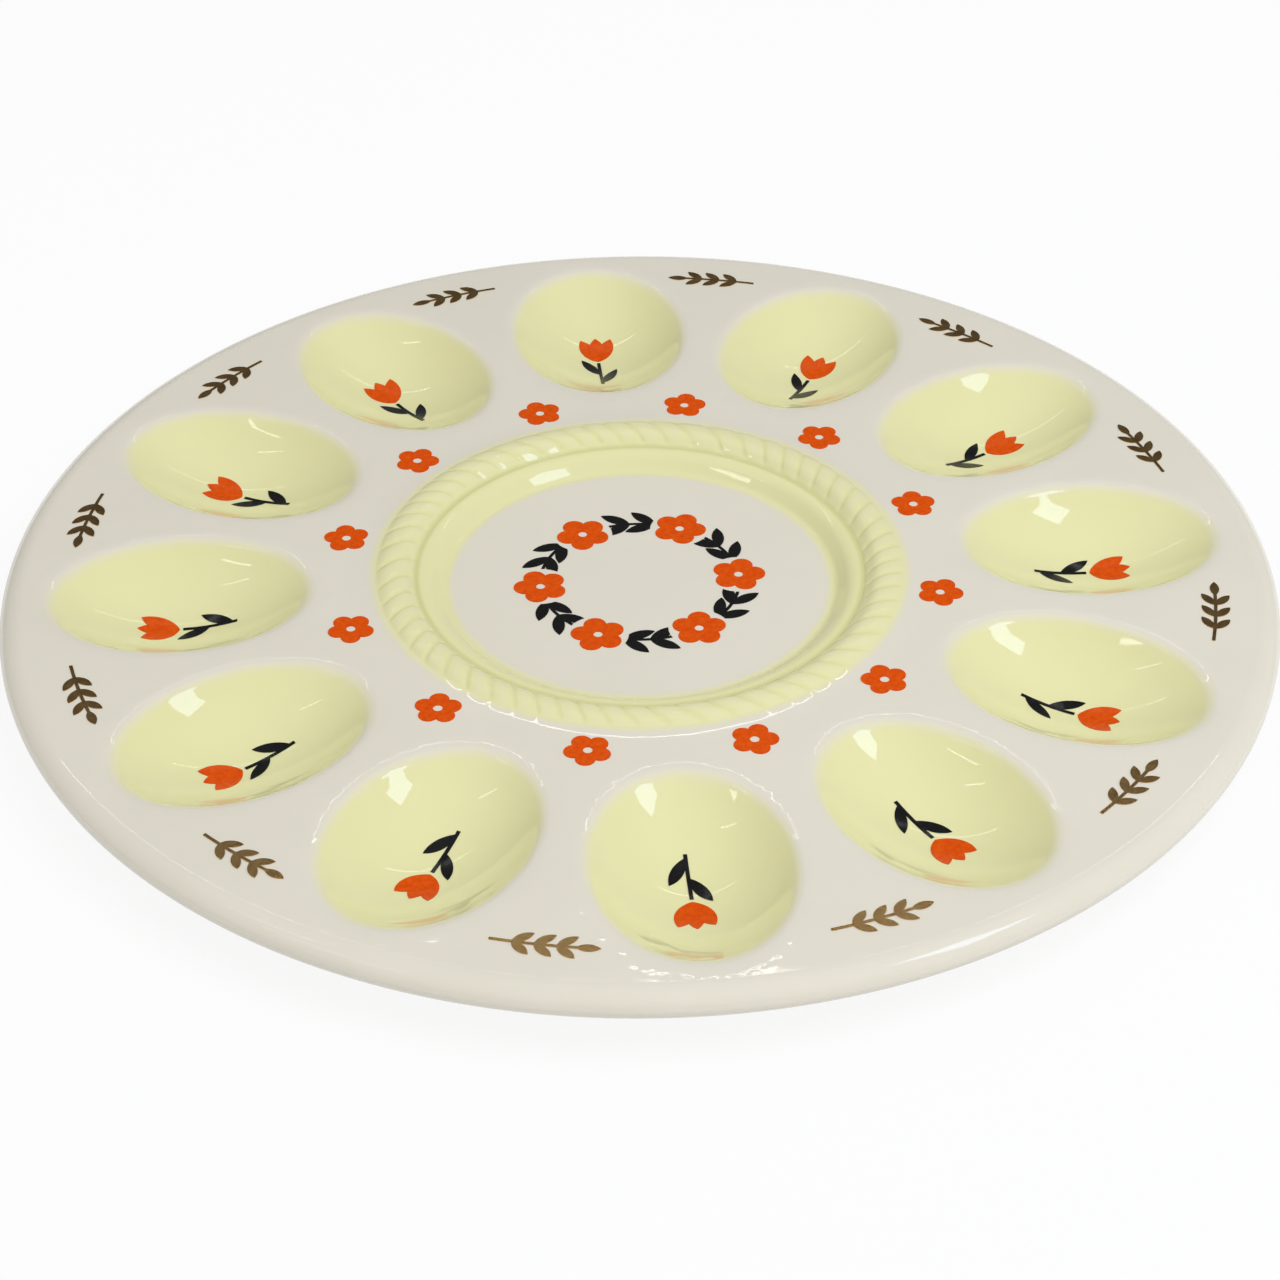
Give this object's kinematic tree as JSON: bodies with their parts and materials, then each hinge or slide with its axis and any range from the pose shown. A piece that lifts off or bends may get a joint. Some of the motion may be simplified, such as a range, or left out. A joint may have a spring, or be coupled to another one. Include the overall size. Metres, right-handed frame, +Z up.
{
  "type": "deviled egg platter",
  "caption": "Round glazed ceramic platter with oval egg cups in a ring, a rope border round a shallow centre well, a rolled rim and a foot ring, for serving halved eggs.",
  "frame": {"origin": "on the table plane, under the middle of the platter", "axes": "+Z up out of the egg cups, +X through the middle of the first egg cup"},
  "size_m": [0.305, 0.305, 0.0194],
  "materials": {
    "white_glaze": "warm white, high gloss",
    "tinted_glaze": "pale yellow-green, high gloss",
    "orange_enamel": "orange transfer, gloss",
    "charcoal_enamel": "charcoal transfer, gloss",
    "gold_lustre": "burnished gold lustre"
  },
  "bodies": {
    "root": {"platter_body": "white_glaze", "rope_border": "tinted_glaze", "well_glaze": "tinted_glaze", "cup_stems": "charcoal_enamel", "wreath_blossoms": "orange_enamel", "wreath_leaves": "charcoal_enamel", "cup_glaze_01": "tinted_glaze", "cup_glaze_02": "tinted_glaze", "cup_glaze_03": "tinted_glaze", "cup_glaze_04": "tinted_glaze", "cup_glaze_05": "tinted_glaze", "cup_glaze_06": "tinted_glaze", "cup_glaze_07": "tinted_glaze", "cup_glaze_08": "tinted_glaze", "cup_glaze_09": "tinted_glaze", "cup_glaze_10": "tinted_glaze", "cup_glaze_11": "tinted_glaze", "cup_glaze_12": "tinted_glaze", "cup_tulip_01": "orange_enamel", "cup_tulip_02": "orange_enamel", "cup_tulip_03": "orange_enamel", "cup_tulip_04": "orange_enamel", "cup_tulip_05": "orange_enamel", "cup_tulip_06": "orange_enamel", "cup_tulip_07": "orange_enamel", "cup_tulip_08": "orange_enamel", "cup_tulip_09": "orange_enamel", "cup_tulip_10": "orange_enamel", "cup_tulip_11": "orange_enamel", "cup_tulip_12": "orange_enamel", "deck_blossom_01": "orange_enamel", "deck_blossom_02": "orange_enamel", "deck_blossom_03": "orange_enamel", "deck_blossom_04": "orange_enamel", "deck_blossom_05": "orange_enamel", "deck_blossom_06": "orange_enamel", "deck_blossom_07": "orange_enamel", "deck_blossom_08": "orange_enamel", "deck_blossom_09": "orange_enamel", "deck_blossom_10": "orange_enamel", "deck_blossom_11": "orange_enamel", "deck_blossom_12": "orange_enamel", "rim_gilt_01": "gold_lustre", "rim_gilt_02": "gold_lustre", "rim_gilt_03": "gold_lustre", "rim_gilt_04": "gold_lustre", "rim_gilt_05": "gold_lustre", "rim_gilt_06": "gold_lustre", "rim_gilt_07": "gold_lustre", "rim_gilt_08": "gold_lustre", "rim_gilt_09": "gold_lustre", "rim_gilt_10": "gold_lustre", "rim_gilt_11": "gold_lustre", "rim_gilt_12": "gold_lustre"}
  },
  "joints": []
}
